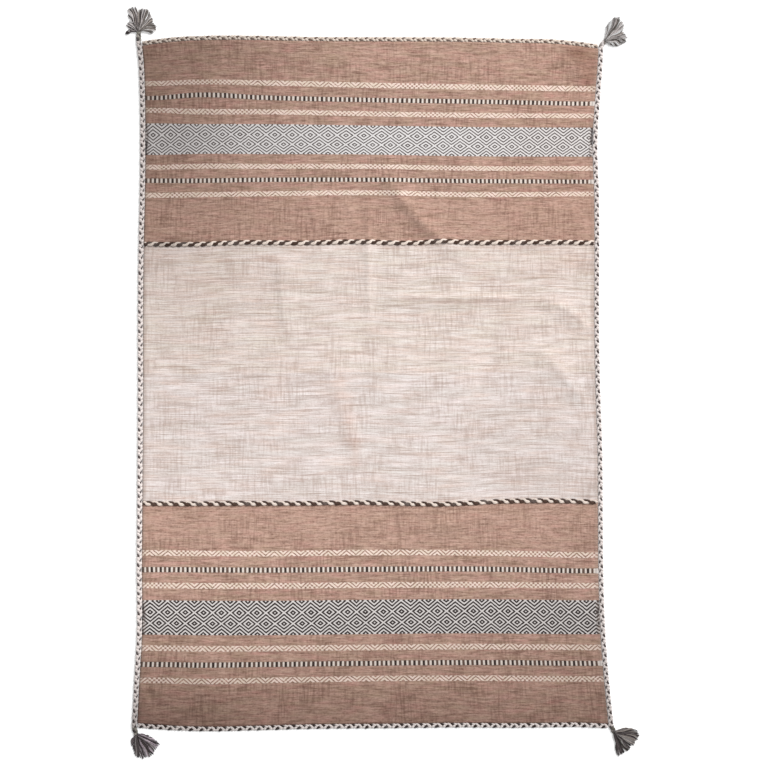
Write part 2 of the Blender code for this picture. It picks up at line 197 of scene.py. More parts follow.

# Where the yarn is more golden or tan on the cream, and where folds and creases are painted a tan shade, in
# the cream and at the top right corner; a tint says how far each of red, green and blue goes.
TAN_AND_FOLD_SHADE = table(SPOT_COLUMNS, [
    (-74, -8, 16, 52, 0.07), (-50, -100, 14, 60, 0.10), (-33, -175, 12, 50, 0.12), (515, 321, 60, 25, 0.07),
    (374, 183, 50, 18, 0.07), (380, -228, 75, 20, 0.06), (476, -46, 42, 36, 0.06), (240, 211, 130, 6, 0.13),
    (554, 856, 38, 26, 0.20), (574, 800, 24, 32, 0.16), (500, 600, 190, 330, 0.05),
    (-400, 317, 150, 4, 0.11), (-260, 243, 110, 4, 0.08), (-380, 183, 80, 4, 0.09),
    (-360, -84, 60, 4, 0.09), (-440, 262, 90, 50, 0.03),
])
TAN_TINT = np.array([0.5, 1.0, 1.25])

# Soft ridges in the cloth: start, middle and end of each crest, its spread to either side, its height.
RIDGE_COLUMNS = "start_x start_y middle_x middle_y end_x end_y spread height"
RIDGES = table(RIDGE_COLUMNS, [
    (0, 520, 0, 330, 0, 110, 30, 2.2), (22, 590, 96, 436, 262, 324, 52, 6.0),
    (10, 217, 300, 218, 462, 214, 34, 2.8), (430, 222, 520, 196, 584, 120, 40, 3.0),
    (420, 105, 500, 30, 580, -66, 46, 3.4), (-92, 40, -64, -90, -24, -215, 36, 2.6),
    (-224, 352, -212, 230, -200, 96, 40, 2.0), (-146, 520, -136, 460, -120, 392, 44, 2.4),
    (110, -398, 262, -372, 410, -318, 46, 5.0), (6, -350, 8, -600, 6, -880, 30, 2.0),
    (-400, 880, -390, 640, -410, 400, 150, 6.0), (-420, -640, -430, -760, -420, -880, 130, 4.0),
    (500, 872, 548, 836, 584, 780, 46, 4.0),
])
CREST_POINTS = 25

# Uneven waves in the face: height in millimetres, length across and along in metres, how far the drift
# turns them each way, and a shift.
WAVE_COLUMNS = "height across along turn_across turn_along shift"
WAVES = table(WAVE_COLUMNS, [
    (0.32, 0.31, 0.23, 1.0, -0.7, 0.4), (0.12, 0.085, 0.19, 2.1, 1.7, 0.0),
    (0.05, 0.047, 0.061, 3.0, -2.0, TURN / 4),
])
RIDGE_FADE = 0.25
RIDGE_END_SHARE = 0.15

# Finer creases that lie over the ridges; a height below nought is a trough.
CREASES = table(RIDGE_COLUMNS, [
    (0, 560, -2, 380, 2, 130, 9, 1.5), (9, -345, 14, -600, 10, -880, 8, -0.9),
    (60, 520, 112, 420, 222, 352, 22, 3.8), (12, 220, 240, 222, 470, 217, 11, 2.8),
    (470, 212, 530, 190, 590, 128, 14, 1.6), (436, 100, 510, 20, 586, -84, 16, 1.0),
    (120, -390, 260, -360, 396, -322, 14, 1.6), (-160, 500, -150, 440, -128, 396, 14, 1.2),
    (-60, 475, -40, 430, -30, 395, 14, 1.2), (-240, 350, -226, 230, -212, 110, 13, 0.9),
    (-585, 860, -560, 760, -566, 660, 20, -1.2), (505, 860, 540, 826, 590, 806, 14, -2.0),
    (-590, -760, -560, -820, -540, -880, 18, -1.2),
])

# Each tassel's fan, anticlockwise: direction and reach of its locks, their bow, and the tip's hook.
FAN_COLUMNS = "angle reach bow hook"
TOP_LEFT_FAN = table(FAN_COLUMNS, [
    (-9, 30, 3, -5), (2, 44, 5, -6), (16, 50, 8, -6), (40, 46, 4, -2), (58, 53, -3, 0), (76, 60, -4, 0),
    (93, 60, -1, 0), (113, 65, 2, 0), (120, 54, 2, 0), (129, 34, 2, 1), (151, 39, 3, 2), (168, 27, 0, 0),
    (193, 37, -4, 0),
])
TOP_RIGHT_FAN = table(FAN_COLUMNS, [
    (-38, 18, 3, 0), (-17, 34, 5, -3), (0, 52, 6, -3), (10, 62, 6, -3), (26, 51, 3, 0), (38, 63, 2, 0),
    (57, 73, 1, 0), (64, 67, -1, 0), (73, 55, -2, 2), (86, 34, -3, 0),
])
BOTTOM_LEFT_FAN = table(FAN_COLUMNS, [
    (228, 20, -3, 0), (258, 38, -4, 0), (271, 57, -5, 0), (281, 64, -3, 0), (293, 64, -1, 0),
    (304, 66, 1, 0), (315, 65, 2, 0), (328, 62, 3, 0), (337, 66, 3, 0), (344, 48, 3, 0), (354, 28, 2, 0),
    (363, 17, 2, 0),
])
BOTTOM_RIGHT_FAN = table(FAN_COLUMNS, [
    (276, 44, -2, 0), (281, 63, -2, 0), (293, 58, -2, 0), (309, 58, -1, 0), (322, 55, 0, 0),
    (331, 58, 1, 0), (344, 61, 2, 0), (356, 62, 4, 0), (363, 60, 5, 2), (371, 44, 5, 2), (384, 26, 4, 0),
])

# Yarn colours.
DARK_YARN = linear(86, 75, 73)
BROWN_YARN = linear(76, 56, 47)
SOFT_BROWN_YARN = linear(114, 94, 84)
BLACKISH_YARN = linear(58, 46, 43)
WHITE_YARN = linear(230, 220, 216)
BEIGE_YARN = linear(224, 209, 196)
CREAM_YARN = linear(240, 224, 212)
SIDE_COLOURS = [DARK_YARN, WHITE_YARN, WHITE_YARN]
GREY_YARN = linear(134, 126, 121)
SILVER_YARN = linear(206, 198, 196)
CHARCOAL_YARN = linear(82, 74, 74)
GREEN_GREY_YARN = linear(114, 109, 99)
PURPLE_GREY_YARN = linear(119, 109, 115)

# Each end plait's hand, lean, the fullness of its dark strand, and its dark and pale yarn. The bottom plait's
# pale yarn is
# the white yarn painted lighter: painted light against the shade along the rug's lower edge.
END_PLAITS = {
    "top": (1, -0.4, 0.84, SOFT_BROWN_YARN, BEIGE_YARN),
    "bottom": (-1, 0.5, 1.3, BLACKISH_YARN, 1.15 * WHITE_YARN),
}
# Each couched cord's hand and the brightness of its cream strand.
CORDS = {"upper": (1, 1.0), "lower": (-1, 0.88)}

# The three strands of a tassel's neck.
PALE_NECK = (CHARCOAL_YARN, linear(148, 144, 134), linear(184, 178, 170))
WHITE_NECK = (GREY_YARN, SILVER_YARN, SILVER_YARN)
DARK_NECK = (CHARCOAL_YARN, GREEN_GREY_YARN, GREY_YARN)

# Tassel root across and along in millimetres, its fan, the yarns mixed in it, and its neck.
TASSELS = {
    "top_left": (-597, 914, TOP_LEFT_FAN, (GREY_YARN, SILVER_YARN, CHARCOAL_YARN, SILVER_YARN), PALE_NECK),
    "top_right": (616, 888, TOP_RIGHT_FAN, (SILVER_YARN, GREY_YARN, SILVER_YARN, GREY_YARN), WHITE_NECK),
    "bottom_left": (
        -603, -917, BOTTOM_LEFT_FAN,
        (CHARCOAL_YARN, PURPLE_GREY_YARN, PURPLE_GREY_YARN, CHARCOAL_YARN), PALE_NECK,
    ),
    "bottom_right": (
        641, -912, BOTTOM_RIGHT_FAN,
        (CHARCOAL_YARN, GREEN_GREY_YARN, GREY_YARN, CHARCOAL_YARN), DARK_NECK,
    ),
}
SIDE_PLAIT_ENDS = {"left": (-899 * MM, 888 * MM), "right": (-895 * MM, 874 * MM)}

# The cloth's colours, how much of each shows, and the lengths of its streaks in metres
BROWN_CLOTH = dict(
    Ground=linear(205, 167, 149), Slub=linear(114, 81, 68), Light=linear(234, 201, 185),
    Warm=linear(205, 153, 142), Cool=linear(184, 156, 132),
    Patch_Length=0.055, Slub_Length=0.034,
    Slub_Share=0.74, Light_Share=0.46, Warp_Share=0.26, Line_Share=0.10,
)
CREAM_CLOTH = dict(
    Slub=linear(166, 140, 127), Light=linear(252, 246, 243), Warm=linear(240, 213, 199),
    Patch_Length=0.090, Slub_Length=0.070,
    Patch_Share=0.70, Slub_Share=0.51, Light_Share=0.64, Warp_Share=0.20, Line_Share=0.52,
)
# Pairs that are mixed: the first at the lower end, the second at the upper
CREAM_GROUNDS = (linear(250, 237, 235), linear(253, 236, 228))
CREAM_COOLS = (linear(225, 218, 212), linear(230, 220, 204))
RING_DARKS = (linear(56, 48, 47), linear(92, 84, 82))
RING_WHITES = (linear(229, 224, 221), linear(234, 231, 230))
# Pairs that are mixed from place to place
ZIGZAG_CREAMS = (linear(252, 230, 218), linear(240, 222, 204))
DASH_DARKS = (linear(96, 77, 68), linear(48, 37, 34))
DASH_WHITE = linear(238, 227, 217)
# Painted shade in the furrows between the raised zigzag lines.
FURROW_SHADE_BROWN = linear(124, 92, 80)
# Painted shade along the cloth's sides, beside the side plaits.
PLAIT_SHADE_BROWN = linear(150, 130, 118)
WARP_END_DARK = linear(48, 40, 42)
TURNED_WHITE = linear(240, 232, 226)

# Camera, light and floor. The camera's field is as wide as the photograph: 768 pixels of 2.605 mm.
CAMERA_MIDDLE = (40.9 * MM, -4.4 * MM)
FIELD = 768 * 2.605 * MM
LENS = 100.0
SENSOR = 36.0
SKY_STRENGTH = 0.53
SUN_STRENGTH = 3.05
SUN_WIDTH_DEGREES = 32
SUN_TILT_DEGREES = (-34, 42, 0)
FLOOR_SIZE = 14.0
FLOOR_DROP = 0.3 * MM
FLOOR_GREY = 0.93
FLOOR_GLOW = 0.22


def smooth_through(at, keys, values):
    """Cubic through a table's values: each row keeps the slope between its neighbours."""
    slopes = np.gradient(values, keys)
    row = np.clip(np.searchsorted(keys, at) - 1, 0, len(keys) - 2)
    step = keys[row + 1] - keys[row]
    share = np.clip((at - keys[row]) / step, 0.0, 1.0)
    rest = 1.0 - share
    from_start = (1 + 2 * share) * rest**2 * values[row] + share * rest**2 * step * slopes[row]
    to_end = share**2 * (3 - 2 * share) * values[row + 1] - share**2 * rest * step * slopes[row + 1]
    return from_start + to_end


def side_edge(side, along):
    """The rug's outer left or right edge, metres across."""
    return smooth_through(along / MM, SIDE_EDGES["along"], SIDE_EDGES[side]) * MM


def end_edge(end, across):
    """The rug's outer top or bottom edge, metres along."""
    return smooth_through(across / MM, END_EDGES["across"], END_EDGES[end]) * MM


def cloth_side(side, along):
    """The cloth's own edge, inside the side plait."""
    return side_edge(side, along) + INWARDS[side] * (SIDE_PLAIT_WIDTH + 2 * PLAIT_SWAY + CLOTH_CLEARANCE)


def cloth_end(end, across):
    """The cloth's own edge, inside the end plait."""
    return end_edge(end, across) + INWARDS[end] * (END_PLAIT_WIDTH + 2 * PLAIT_SWAY + CLOTH_CLEARANCE)


def ridge_height(x, y, ridge):
    """Height of one ridge: a squared cosine of the distance to its curved crest, faded at both ends."""
    t = np.linspace(0.0, 1.0, CREST_POINTS)
    weights = np.stack([(1 - t) ** 2, 2 * t * (1 - t), t**2])
    crest_x, crest_y = (
        weights.T @ np.array([ridge[place + axis] for place in ("start", "middle", "end")]) * MM
        for axis in ("_x", "_y")
    )
    nearest = np.full(x.shape, np.inf)
    place = np.zeros(x.shape)
    for k in range(CREST_POINTS - 1):
        along_x = crest_x[k + 1] - crest_x[k]
        along_y = crest_y[k + 1] - crest_y[k]
        share = ((x - crest_x[k]) * along_x + (y - crest_y[k]) * along_y) / (along_x**2 + along_y**2)
        share = np.clip(share, 0.0, 1.0)
        distance = np.hypot(x - crest_x[k] - share * along_x, y - crest_y[k] - share * along_y)
        closer = distance < nearest
        nearest = np.where(closer, distance, nearest)
        place = np.where(closer, t[k] + share * (t[k + 1] - t[k]), place)
    fade = np.clip(np.minimum(place, 1 - place) / RIDGE_FADE, RIDGE_END_SHARE, 1.0)
    closeness = np.clip(nearest / (ridge["spread"] * MM), 0.0, 1.0)
    return ridge["height"] * MM * fade * np.cos(0.5 * np.pi * closeness) ** 2


def border_share(x, y):
    """Nought at the cloth's edges, one from a little way inside them."""
    to_side = np.minimum(x - cloth_side("left", y), cloth_side("right", y) - x)
    to_end = np.minimum(y - cloth_end("bottom", x), cloth_end("top", x) - y)
    border = np.clip(np.minimum(to_side, to_end) / FLAT_BORDER, 0.0, 1.0)
    return border**2 * (3 - 2 * border)


def cloth_lift(x, y):
    """How far the cloth stands off the floor: its highest ridge, flat at the edges."""
    lift = np.zeros(x.shape)
    for ridge in RIDGES:
        lift = np.maximum(lift, ridge_height(x, y, ridge))
    return lift * border_share(x, y)


def crease_height(x, y):
    """Fine creases, and a slow uneven wave: sines across and along the rug whose phases drift."""
    height = sum(ridge_height(x, y, crease) for crease in CREASES)
    drift = 1.3 * np.sin(TURN * y / 0.71 + 0.8) + 0.9 * np.sin(TURN * x / 0.93)
    wave = 0.0
    for each in WAVES:
        across = np.sin(TURN * x / each["across"] + each["turn_across"] * drift)
        along = np.sin(TURN * y / each["along"] + each["turn_along"] * drift + each["shift"])
        wave = wave + each["height"] * (across * along)
    return height + wave * MM * border_share(x, y)


def tone_and_painted_shade(x, y, spots=PAINTED_SHADE_SPOTS):
    """How light a place is painted: one, times one less a soft bell curve for each darker place, most of them
    painted shade.
    """
    tone = np.ones(np.shape(x))
    for spot in spots:
        away_x = (x / MM - spot["across"]) / spot["wide"]
        away_y = (y / MM - spot["along"]) / spot["long"]
        tone = tone * (1.0 - spot["darker"] * np.exp(-(away_x**2 + away_y**2)))
    return tone


def weave_place(x, y):
    """Where a point of the cloth lies in the even weave, metres across and along.

    Across: its share between the cloth's two sides, turned into diamond repeats from the first one's middle.
    Along: a sum of clipped ramps between the wandering bands, each ramp as long as in the even weave.
    """
    left = cloth_side("left", y)
    share = (x - left) / (cloth_side("right", y) - left)
    across = smooth_through(share, REPEAT_SHARES, REPEATS_THERE) * REPEAT
    at = x / MM
    places = [end_edge("bottom", x) / MM]
    evens = [-END_IN_WEAVE]
    for even, wander in BANDS:
        if even == ZIGZAG_BANDS[0]:
            places += [smooth_through(at, FACE_CORDS["across"], FACE_CORDS[c]) for c in ("lower", "upper")]
            evens += [-CORD_IN_WEAVE, CORD_IN_WEAVE]
        places.append(smooth_through(at, BAND_PLACES, np.array(wander, float)))
        evens.append(even)
    places.append(end_edge("top", x) / MM)
    evens.append(END_IN_WEAVE)
    along = np.full(x.shape, float(evens[0]))
    for start, end, even, next_even in zip(places, places[1:], evens, evens[1:]):
        along += (next_even - even) * np.clip((y / MM - start) / (end - start), 0.0, 1.0)
    return across, along * MM


def cloth_grid(cells):
    """Even shares across and along drawn to the cloth's outline, which reaches a little under the plaits."""
    share_along, share_across = np.meshgrid(
        np.linspace(0.0, 1.0, cells[1] + 1), np.linspace(0.0, 1.0, cells[0] + 1), indexing="ij"
    )
    y = ABOUT_LENGTH * (share_along - 0.5)
    for _ in range(OUTLINE_PASSES):
        left = cloth_side("left", y) - UNDER_BRAID
        right = cloth_side("right", y) + UNDER_BRAID
        x = left + share_across * (right - left)
        bottom = cloth_end("bottom", x) - UNDER_BRAID
        top = cloth_end("top", x) + UNDER_BRAID
        y = bottom + share_along * (top - bottom)
    return x, y


def rim_fans(fine, coarse, ratio):
    """Triangles between a fine edge and the coarse edge under it, in loop order with the face outwards."""
    starts = np.arange(len(coarse) - 1)
    fan = [
        np.stack([coarse[:-1], fine[starts * ratio + k + 1], fine[starts * ratio + k]], axis=1)
        for k in range(ratio)
    ]
    last = np.stack([coarse[:-1], coarse[1:], fine[(starts + 1) * ratio]], axis=1)
    return np.concatenate(fan + [last])


def edge_loop(index):
    """The numbers of a grid's edge points, anticlockwise seen from above, ending where they began."""
    return np.concatenate([index[0, :-1], index[:-1, -1], index[-1, :0:-1], index[::-1, 0]])


def grid_quads(index):
    """The quads of a grid of point numbers, facing up."""
    return np.stack([index[:-1, :-1], index[:-1, 1:], index[1:, 1:], index[1:, :-1]], axis=-1).reshape(-1, 4)


def object_of(name, points, faces, maps, colours):
    """An object from point and face arrays, with UV maps for each face corner and a colour for each point."""
    mesh = bpy.data.meshes.new(name)
    mesh.from_pydata(points.tolist(), [], [face for group in faces for face in group.tolist()])
    for map_name, corners in maps.items():
        layer = mesh.uv_layers.new(name=map_name)
        layer.data.foreach_set("uv", corners.astype(np.float32).ravel())
    layer = mesh.attributes.new("yarn_colour", "FLOAT_COLOR", "POINT")
    full = np.concatenate([colours, np.ones((len(colours), 1))], axis=1)
    layer.data.foreach_set("color", full.astype(np.float32).ravel())
    mesh.shade_smooth()
    obj = bpy.data.objects.new(name, mesh)
    bpy.context.scene.collection.objects.link(obj)
    return obj


def make_cloth(material):
    """The woven cloth as one closed mesh: a fine face, a coarser back under it, and a rim of fans."""
    face_x, face_y = cloth_grid(FACE_CELLS)
    back_x, back_y = cloth_grid(BACK_CELLS)
    face_z = cloth_lift(face_x, face_y) + crease_height(face_x, face_y) + CLOTH_THICKNESS
    back_z = cloth_lift(back_x, back_y)
    x = np.concatenate([face_x.ravel(), back_x.ravel()])
    y = np.concatenate([face_y.ravel(), back_y.ravel()])
    points = np.stack([x, y, np.concatenate([face_z.ravel(), back_z.ravel()])], axis=1)
    face = np.arange(face_x.size).reshape(face_x.shape)
    back = face_x.size + np.arange(back_x.size).reshape(back_x.shape)
    quads = np.concatenate([grid_quads(face), grid_quads(back)[:, ::-1]])
    rim = rim_fans(edge_loop(face), edge_loop(back), FACE_CELLS[0] // BACK_CELLS[0])
    corner = np.concatenate([quads.ravel(), rim.ravel()])
    weave = np.stack(weave_place(x, y), axis=1)
    low = np.array([x.min(), y.min()])
    size = np.array([np.ptp(x), np.ptp(y)])
    bake = (np.stack([x, y], axis=1) - low) / size
    # Each point's colour is painted shade: the soft darker places, the tan folds and the tan yarn.
    tone = tone_and_painted_shade(x, y)[:, None] ** PAINTED_SHADE_TINT * tone_and_painted_shade(x, y, TAN_AND_FOLD_SHADE)[:, None] ** TAN_TINT
    maps = {"weave": weave[corner], "OFBake": bake[corner]}
    cloth = object_of("rug_cloth", points, [quads, rim], maps, tone)
    cloth.data.materials.append(material)
    return cloth


def quad_places(u_here, u_next, v_here, v_after):
    """Map places of a tube's quads at their four corners: u goes round the tube, v along it."""
    u_here, u_next, v_here, v_after = np.broadcast_arrays(u_here, u_next, v_here, v_after)
    corners = ((u_here, v_here), (u_here, v_after), (u_next, v_after), (u_next, v_here))
    return np.stack([np.stack(corner, axis=-1) for corner in corners], axis=-2)


def tube_part(centres, half_width, half_height, sides, colours, cells):
    """Closed tubes round many centre lines at once, each ring an ellipse square to its line.

    A point is centre + wide * half_width * cos(turn) + thick * half_height * sin(turn), where wide is
    level and thick stands on it; a point closes each end. The yarn map is turns round and metres along.
    The bake map gives each stretch of tube a cell of its own.
    """
    count, steps, _ = centres.shape
    along = np.gradient(centres, axis=1)
    along /= np.linalg.norm(along, axis=2, keepdims=True)
    wide = np.cross(along, UP)
    wide /= np.linalg.norm(wide, axis=2, keepdims=True)
    thick = np.cross(wide, along)
    turn = TURN * np.arange(sides) / sides
    rings = (
        centres[:, :, None]
        + (wide * half_width[..., None])[:, :, None] * np.cos(turn)[:, None]
        + (thick * half_height[..., None])[:, :, None] * np.sin(turn)[:, None]
    )
    points = np.concatenate([rings.reshape(-1, 3), centres[:, 0], centres[:, -1]])
    number = np.arange(count * steps * sides).reshape(count, steps, sides)
    here, after = number[:, :-1], number[:, 1:]
    quads = np.stack([here, after, np.roll(after, -1, 2), np.roll(here, -1, 2)], axis=-1)
    poles = count * steps * sides + np.arange(2 * count).reshape(2, count, 1)
    first, last = number[:, 0], number[:, -1]
    start = np.stack([np.broadcast_to(poles[0], first.shape), first, np.roll(first, -1, 1)], axis=-1)
    end = np.stack([np.broadcast_to(poles[1], last.shape), np.roll(last, -1, 1), last], axis=-1)

    length = np.zeros((count, steps))
    length[:, 1:] = np.cumsum(np.linalg.norm(np.diff(centres, axis=1), axis=2), axis=1)
    around = np.arange(sides + 1) / sides
    yarn = quad_places(around[:-1], around[1:], length[:, :-1, None], length[:, 1:, None])

    columns, rows, folds, low, high = cells
    stretch = int(np.ceil((steps - 1) / folds))
    step = np.arange(steps - 1)[None, :, None]
    cell = np.arange(count)[:, None, None] * folds + step // stretch
    row, column = cell // columns, cell % columns
    u_here, u_next = ((column + CELL_FILL * part) / columns for part in (around[:-1], around[1:]))
    v_here, v_after = (
        low + (high - low) * (row + CELL_FILL * (step % stretch + k) / stretch) / rows for k in (0, 1)
    )
    bake = quad_places(u_here, u_next, v_here, v_after)

    def caps(places):
        """The places of the end triangles, taken from the quads beside them."""
        return [places[:, 0][:, :, (0, 0, 3)].reshape(-1, 2), places[:, -1][:, :, (1, 2, 1)].reshape(-1, 2)]

    shaded = np.repeat(colours.reshape(-1, 3), sides, axis=0)
    return {
        "points": points,
        "quads": quads.reshape(-1, 4),
        "tris": np.concatenate([start.reshape(-1, 3), end.reshape(-1, 3)]),
        "yarn_quads": yarn.reshape(-1, 2),
        "yarn_tris": np.concatenate(caps(yarn)),
        "OFBake_quads": bake.reshape(-1, 2),
        "OFBake_tris": np.concatenate(caps(bake)),
        "colours": np.concatenate([shaded, colours[:, 0], colours[:, -1]]),
    }


def joined_object(name, parts, material):
    """One object from several tube parts."""
    placed = list(zip(parts, np.cumsum([0] + [len(part["points"]) for part in parts[:-1]])))

    def gathered(*keys, shift=0):
        """All parts' arrays under each key, raised by the number of each part's first point if asked for."""
        return np.concatenate([part[key] + shift * first for key in keys for part, first in placed])

    faces = [gathered("quads", shift=1), gathered("tris", shift=1)]
    maps = {map_name: gathered(map_name + "_quads", map_name + "_tris") for map_name in ("yarn", "OFBake")}
    obj = object_of(name, gathered("points"), faces, maps, gathered("colours"))
    obj.data.materials.append(material)
    return obj


def resampled(line, step):
    """The same line with its points a step apart."""
    length = np.concatenate([[0.0], np.cumsum(np.linalg.norm(np.diff(line, axis=0), axis=1))])
    at = np.linspace(0.0, length[-1], max(3, int(round(length[-1] / step)) + 1))
    return np.stack([np.interp(at, length, line[:, axis]) for axis in range(3)], axis=1), at


def strands_part(line, pitch, size, weave, colours, cells, seed, first_turn=0.0, narrowing=None):
    """Strands laid over one another along a line: a flat plait of three, or a cord of two.

    The weave turns the strands' phases into sways to the side and rises, each from -1 to 1, and gives
    each strand's fullness. The pitch drifts a little along the line, and each strand swells a little.
    """
    width, height = size
    count = len(colours)
    middle, at = resampled(line, pitch / STEPS_PER_PITCH)
    rng = np.random.default_rng(seed)
    drift = sum(share * np.sin(TURN * (at / length + rng.random())) for share, length in PITCH_DRIFTS)
    turns = at / pitch + first_turn + drift * np.clip(at / 0.1, 0.0, 1.0)
    along = np.gradient(middle, axis=0)
    along /= np.linalg.norm(along, axis=1, keepdims=True)
    side = np.cross(along, UP)
    scale = np.ones(len(at)) if narrowing is None else np.interp(at / at[-1], *narrowing)
    sway, rise, strand_share, fullness = weave(TURN * (turns[None] + np.arange(count)[:, None] / count))
    strand_half = strand_share * width
    strand_thick = STRAND_THICKNESS * height
    sideways = (0.5 * width - strand_half) * scale * sway
    swell = 1.0
    for share, length in SWELLS:
        swell = swell + share * np.sin(TURN * (at / length + rng.random((count, 1))))
    half_width = strand_half * scale * swell * fullness
    half_height = strand_thick * scale * np.sqrt(swell)
    upwards = 0.5 * height * scale + (0.5 * height - strand_thick) * scale * rise
    centres = middle + side * sideways[..., None] + UP * np.maximum(upwards, half_height)[..., None]
    # Painted shade: the plaits and cords take the cloth's darker places too, more softly.
    tone = tone_and_painted_shade(middle[:, 0], middle[:, 1])[None, :, None] ** 0.6
    strand_colours = np.array(colours)[:, None, :] * tone
    fading = 0.5 + 0.5 * np.sin(TURN * (at / 0.37 + rng.random())) * np.sin(TURN * at / 0.083)
    strand_colours[0] += (np.clip(fading, 0.0, 1.0) ** 3 * 0.06)[:, None]
    part = tube_part(centres, half_width, half_height, STRAND_SIDES, strand_colours, cells)
    return part, turns[-1]


def plait_weave(hand, lean, dark_fullness):
    """A plait of three: a strand of phase f sways as the sine of f, and rises and dips as the sine of 2 f.

    So each strand passes over its neighbours on its way out (hand 1) or in (hand -1). Lean 1 raises
    the row on the right and tucks the left one in under it.
    """

    def weave(phase):
        under = np.clip(-lean * np.sin(phase), 0.0, 1.0)
        rise = hand * np.sin(2 * phase) + 0.45 * lean * np.sin(phase)
        thinner = np.array([0.42, 0.0, 0.0])[:, None] * under
        fullness = np.array([dark_fullness, WHITE_FULLNESS, WHITE_FULLNESS])[:, None] * (1.0 - thinner)
        return (1.0 - 0.14 * under) * np.sin(phase), rise, STRAND_WIDTH, fullness

    return weave


def cord_weave(hand):
    """Two strands that keep changing rows: a strand of phase f is in the row on the cord's right while
    the cosine of f is above nought, and full there, and in the left row, and thin, while it is below.

    It crosses from row to row quickly, over the other strand on its way to the left (hand 1) or back.
    """

    def weave(phase):
        row = np.tanh(1.7 * np.cos(phase)) / np.tanh(1.7)
        sway = row - 0.31 - 0.20 * np.sin(phase)
        return sway, hand * np.sin(phase), CORD_STRAND_WIDTH, 1.0 + 0.30 * row

    return weave


def side_line(side):
    """The side plait's middle line, from bottom to top."""
    start, end = SIDE_PLAIT_ENDS[side]
    along = np.linspace(start, end, SIDE_LINE_POINTS)
    middle = side_edge(side, along) + INWARDS[side] * (0.5 * SIDE_PLAIT_WIDTH + PLAIT_SWAY)
    return np.stack([middle, along, np.zeros_like(along)], axis=1)


def end_line(end):
    """The end plait's middle line, between the two side plaits."""
    corner = end_edge(end, SIDE_EDGES["left"][0] * MM) + INWARDS[end] * 0.5 * END_PLAIT_WIDTH
    across = np.linspace(cloth_side("left", corner), cloth_side("right", corner), END_LINE_POINTS)
    middle = end_edge(end, across) + INWARDS[end] * (0.5 * END_PLAIT_WIDTH + PLAIT_SWAY)
    return np.stack([across, middle, np.zeros_like(across)], axis=1)


def cord_line(which):
    """The couched cord's base line, on the cloth's face."""
    height = FACE_CORDS[which].mean() * MM
    across = np.linspace(cloth_side("left", height), cloth_side("right", height), CORD_LINE_POINTS)
    along = smooth_through(across / MM, FACE_CORDS["across"], FACE_CORDS[which]) * MM
    face = cloth_lift(across, along) + crease_height(across, along) + CLOTH_THICKNESS
    return np.stack([across, along, face], axis=1)


def neck_line(braid_end, before_end, root):
    """The neck: straight on out of the plait for a little, then round to the fan's root."""
    out = (braid_end - before_end) / np.linalg.norm(braid_end - before_end)
    turn = braid_end + out * NECK_STRAIGHT
    bend = (root - turn) / np.linalg.norm(root - turn)
    t = np.linspace(0.0, 1.0, NECK_LINE_POINTS)[:, None]
    end = root + bend * NECK_OVERRUN
    return (1 - t) ** 2 * braid_end + 2 * t * (1 - t) * turn + t**2 * end


def yarn_lines(root, fan, rng):
    """The middle lines of a tassel's yarns, a few to a strand and a few strands to a lock.

    A lock runs from the root to its place in the fan on a bowed line with a wave across it that grows
    towards the tip, which may hook sideways. Its yarns start packed in the neck, part from the lock's
    line as they go, and settle towards the floor.
    """
    strand = rng.integers(0, STRANDS, YARNS)
    lock = strand * LOCKS // STRANDS
    strand_share = (np.arange(STRANDS) + 0.5 + 0.3 * rng.uniform(-1, 1, STRANDS)) / STRANDS
    strand_reach = rng.uniform(0.95, 1.03, STRANDS)
    lock_wave = rng.uniform(0.8, 2.6, LOCKS) * MM
    lock_phase = rng.random(LOCKS)
    lock_turns = rng.uniform(1.0, 1.9, LOCKS)
    lock_reach = rng.uniform(0.97, 1.03, LOCKS)
    order = (fan["angle"] - fan["angle"][0]) / (fan["angle"][-1] - fan["angle"][0])
    share = np.clip(strand_share[strand] + rng.normal(0.0, 0.26, YARNS) / STRANDS, 0.0, 1.0)
    angle, reach, bow, hook = (np.interp(share, order, fan[column]) for column in fan.dtype.names)
    angle = np.radians(angle)
    reach = reach * MM * (lock_reach[lock] * strand_reach[strand] * rng.uniform(0.97, 1.04, YARNS))
    bow = bow * MM
    hook = hook * MM * rng.uniform(0.4, 1.3, YARNS)
    heading = np.stack([np.cos(angle), np.sin(angle), np.zeros(YARNS)], axis=1)[:, None]
    beside = np.stack([-np.sin(angle), np.cos(angle), np.zeros(YARNS)], axis=1)[:, None]
    t = np.linspace(0.0, 1.0, YARN_STEPS)[None, :]
    lock_turn = lock_turns[lock][:, None] * t + lock_phase[lock][:, None]
    wave = lock_wave[lock][:, None] * np.sin(TURN * lock_turn)
    own_wave = rng.uniform(0.1, 0.5, (YARNS, 1)) * MM * np.sin(TURN * (2.3 * t + rng.random((YARNS, 1))))
    packed = rng.uniform(-1, 1, (YARNS, 1))
    layer = np.sqrt(rng.random((YARNS, 1)))
    middle = np.radians(0.5 * (fan["angle"][0] + fan["angle"][-1]))
    across_neck = np.array([-np.sin(middle), np.cos(middle), 0.0])
    forward = reach[:, None] * t - np.abs(hook)[:, None] * 0.8 * t**5
    sideways = 2 * t * (1 - t) * bow[:, None] + hook[:, None] * t**4 + (wave + own_wave) * t**0.7
    start = across_neck * (packed * NECK_FILL * NECK_WIDTH * (1 - t) ** 2)[..., None]
    height = YARN_RADIUS + layer * (NECK_HEIGHT - 2 * YARN_RADIUS) * (1 - 0.55 * t) * (1 - 0.25 * packed**2)
    lift = 0.4 * MM * np.sin(TURN * (1.7 * t + rng.random((YARNS, 1)))) * t
    centres = root + heading * forward[..., None] + beside * sideways[..., None] + start
    centres = centres + UP * np.maximum(height + lift, LOWEST_YARN)[..., None]
    return centres, share, strand


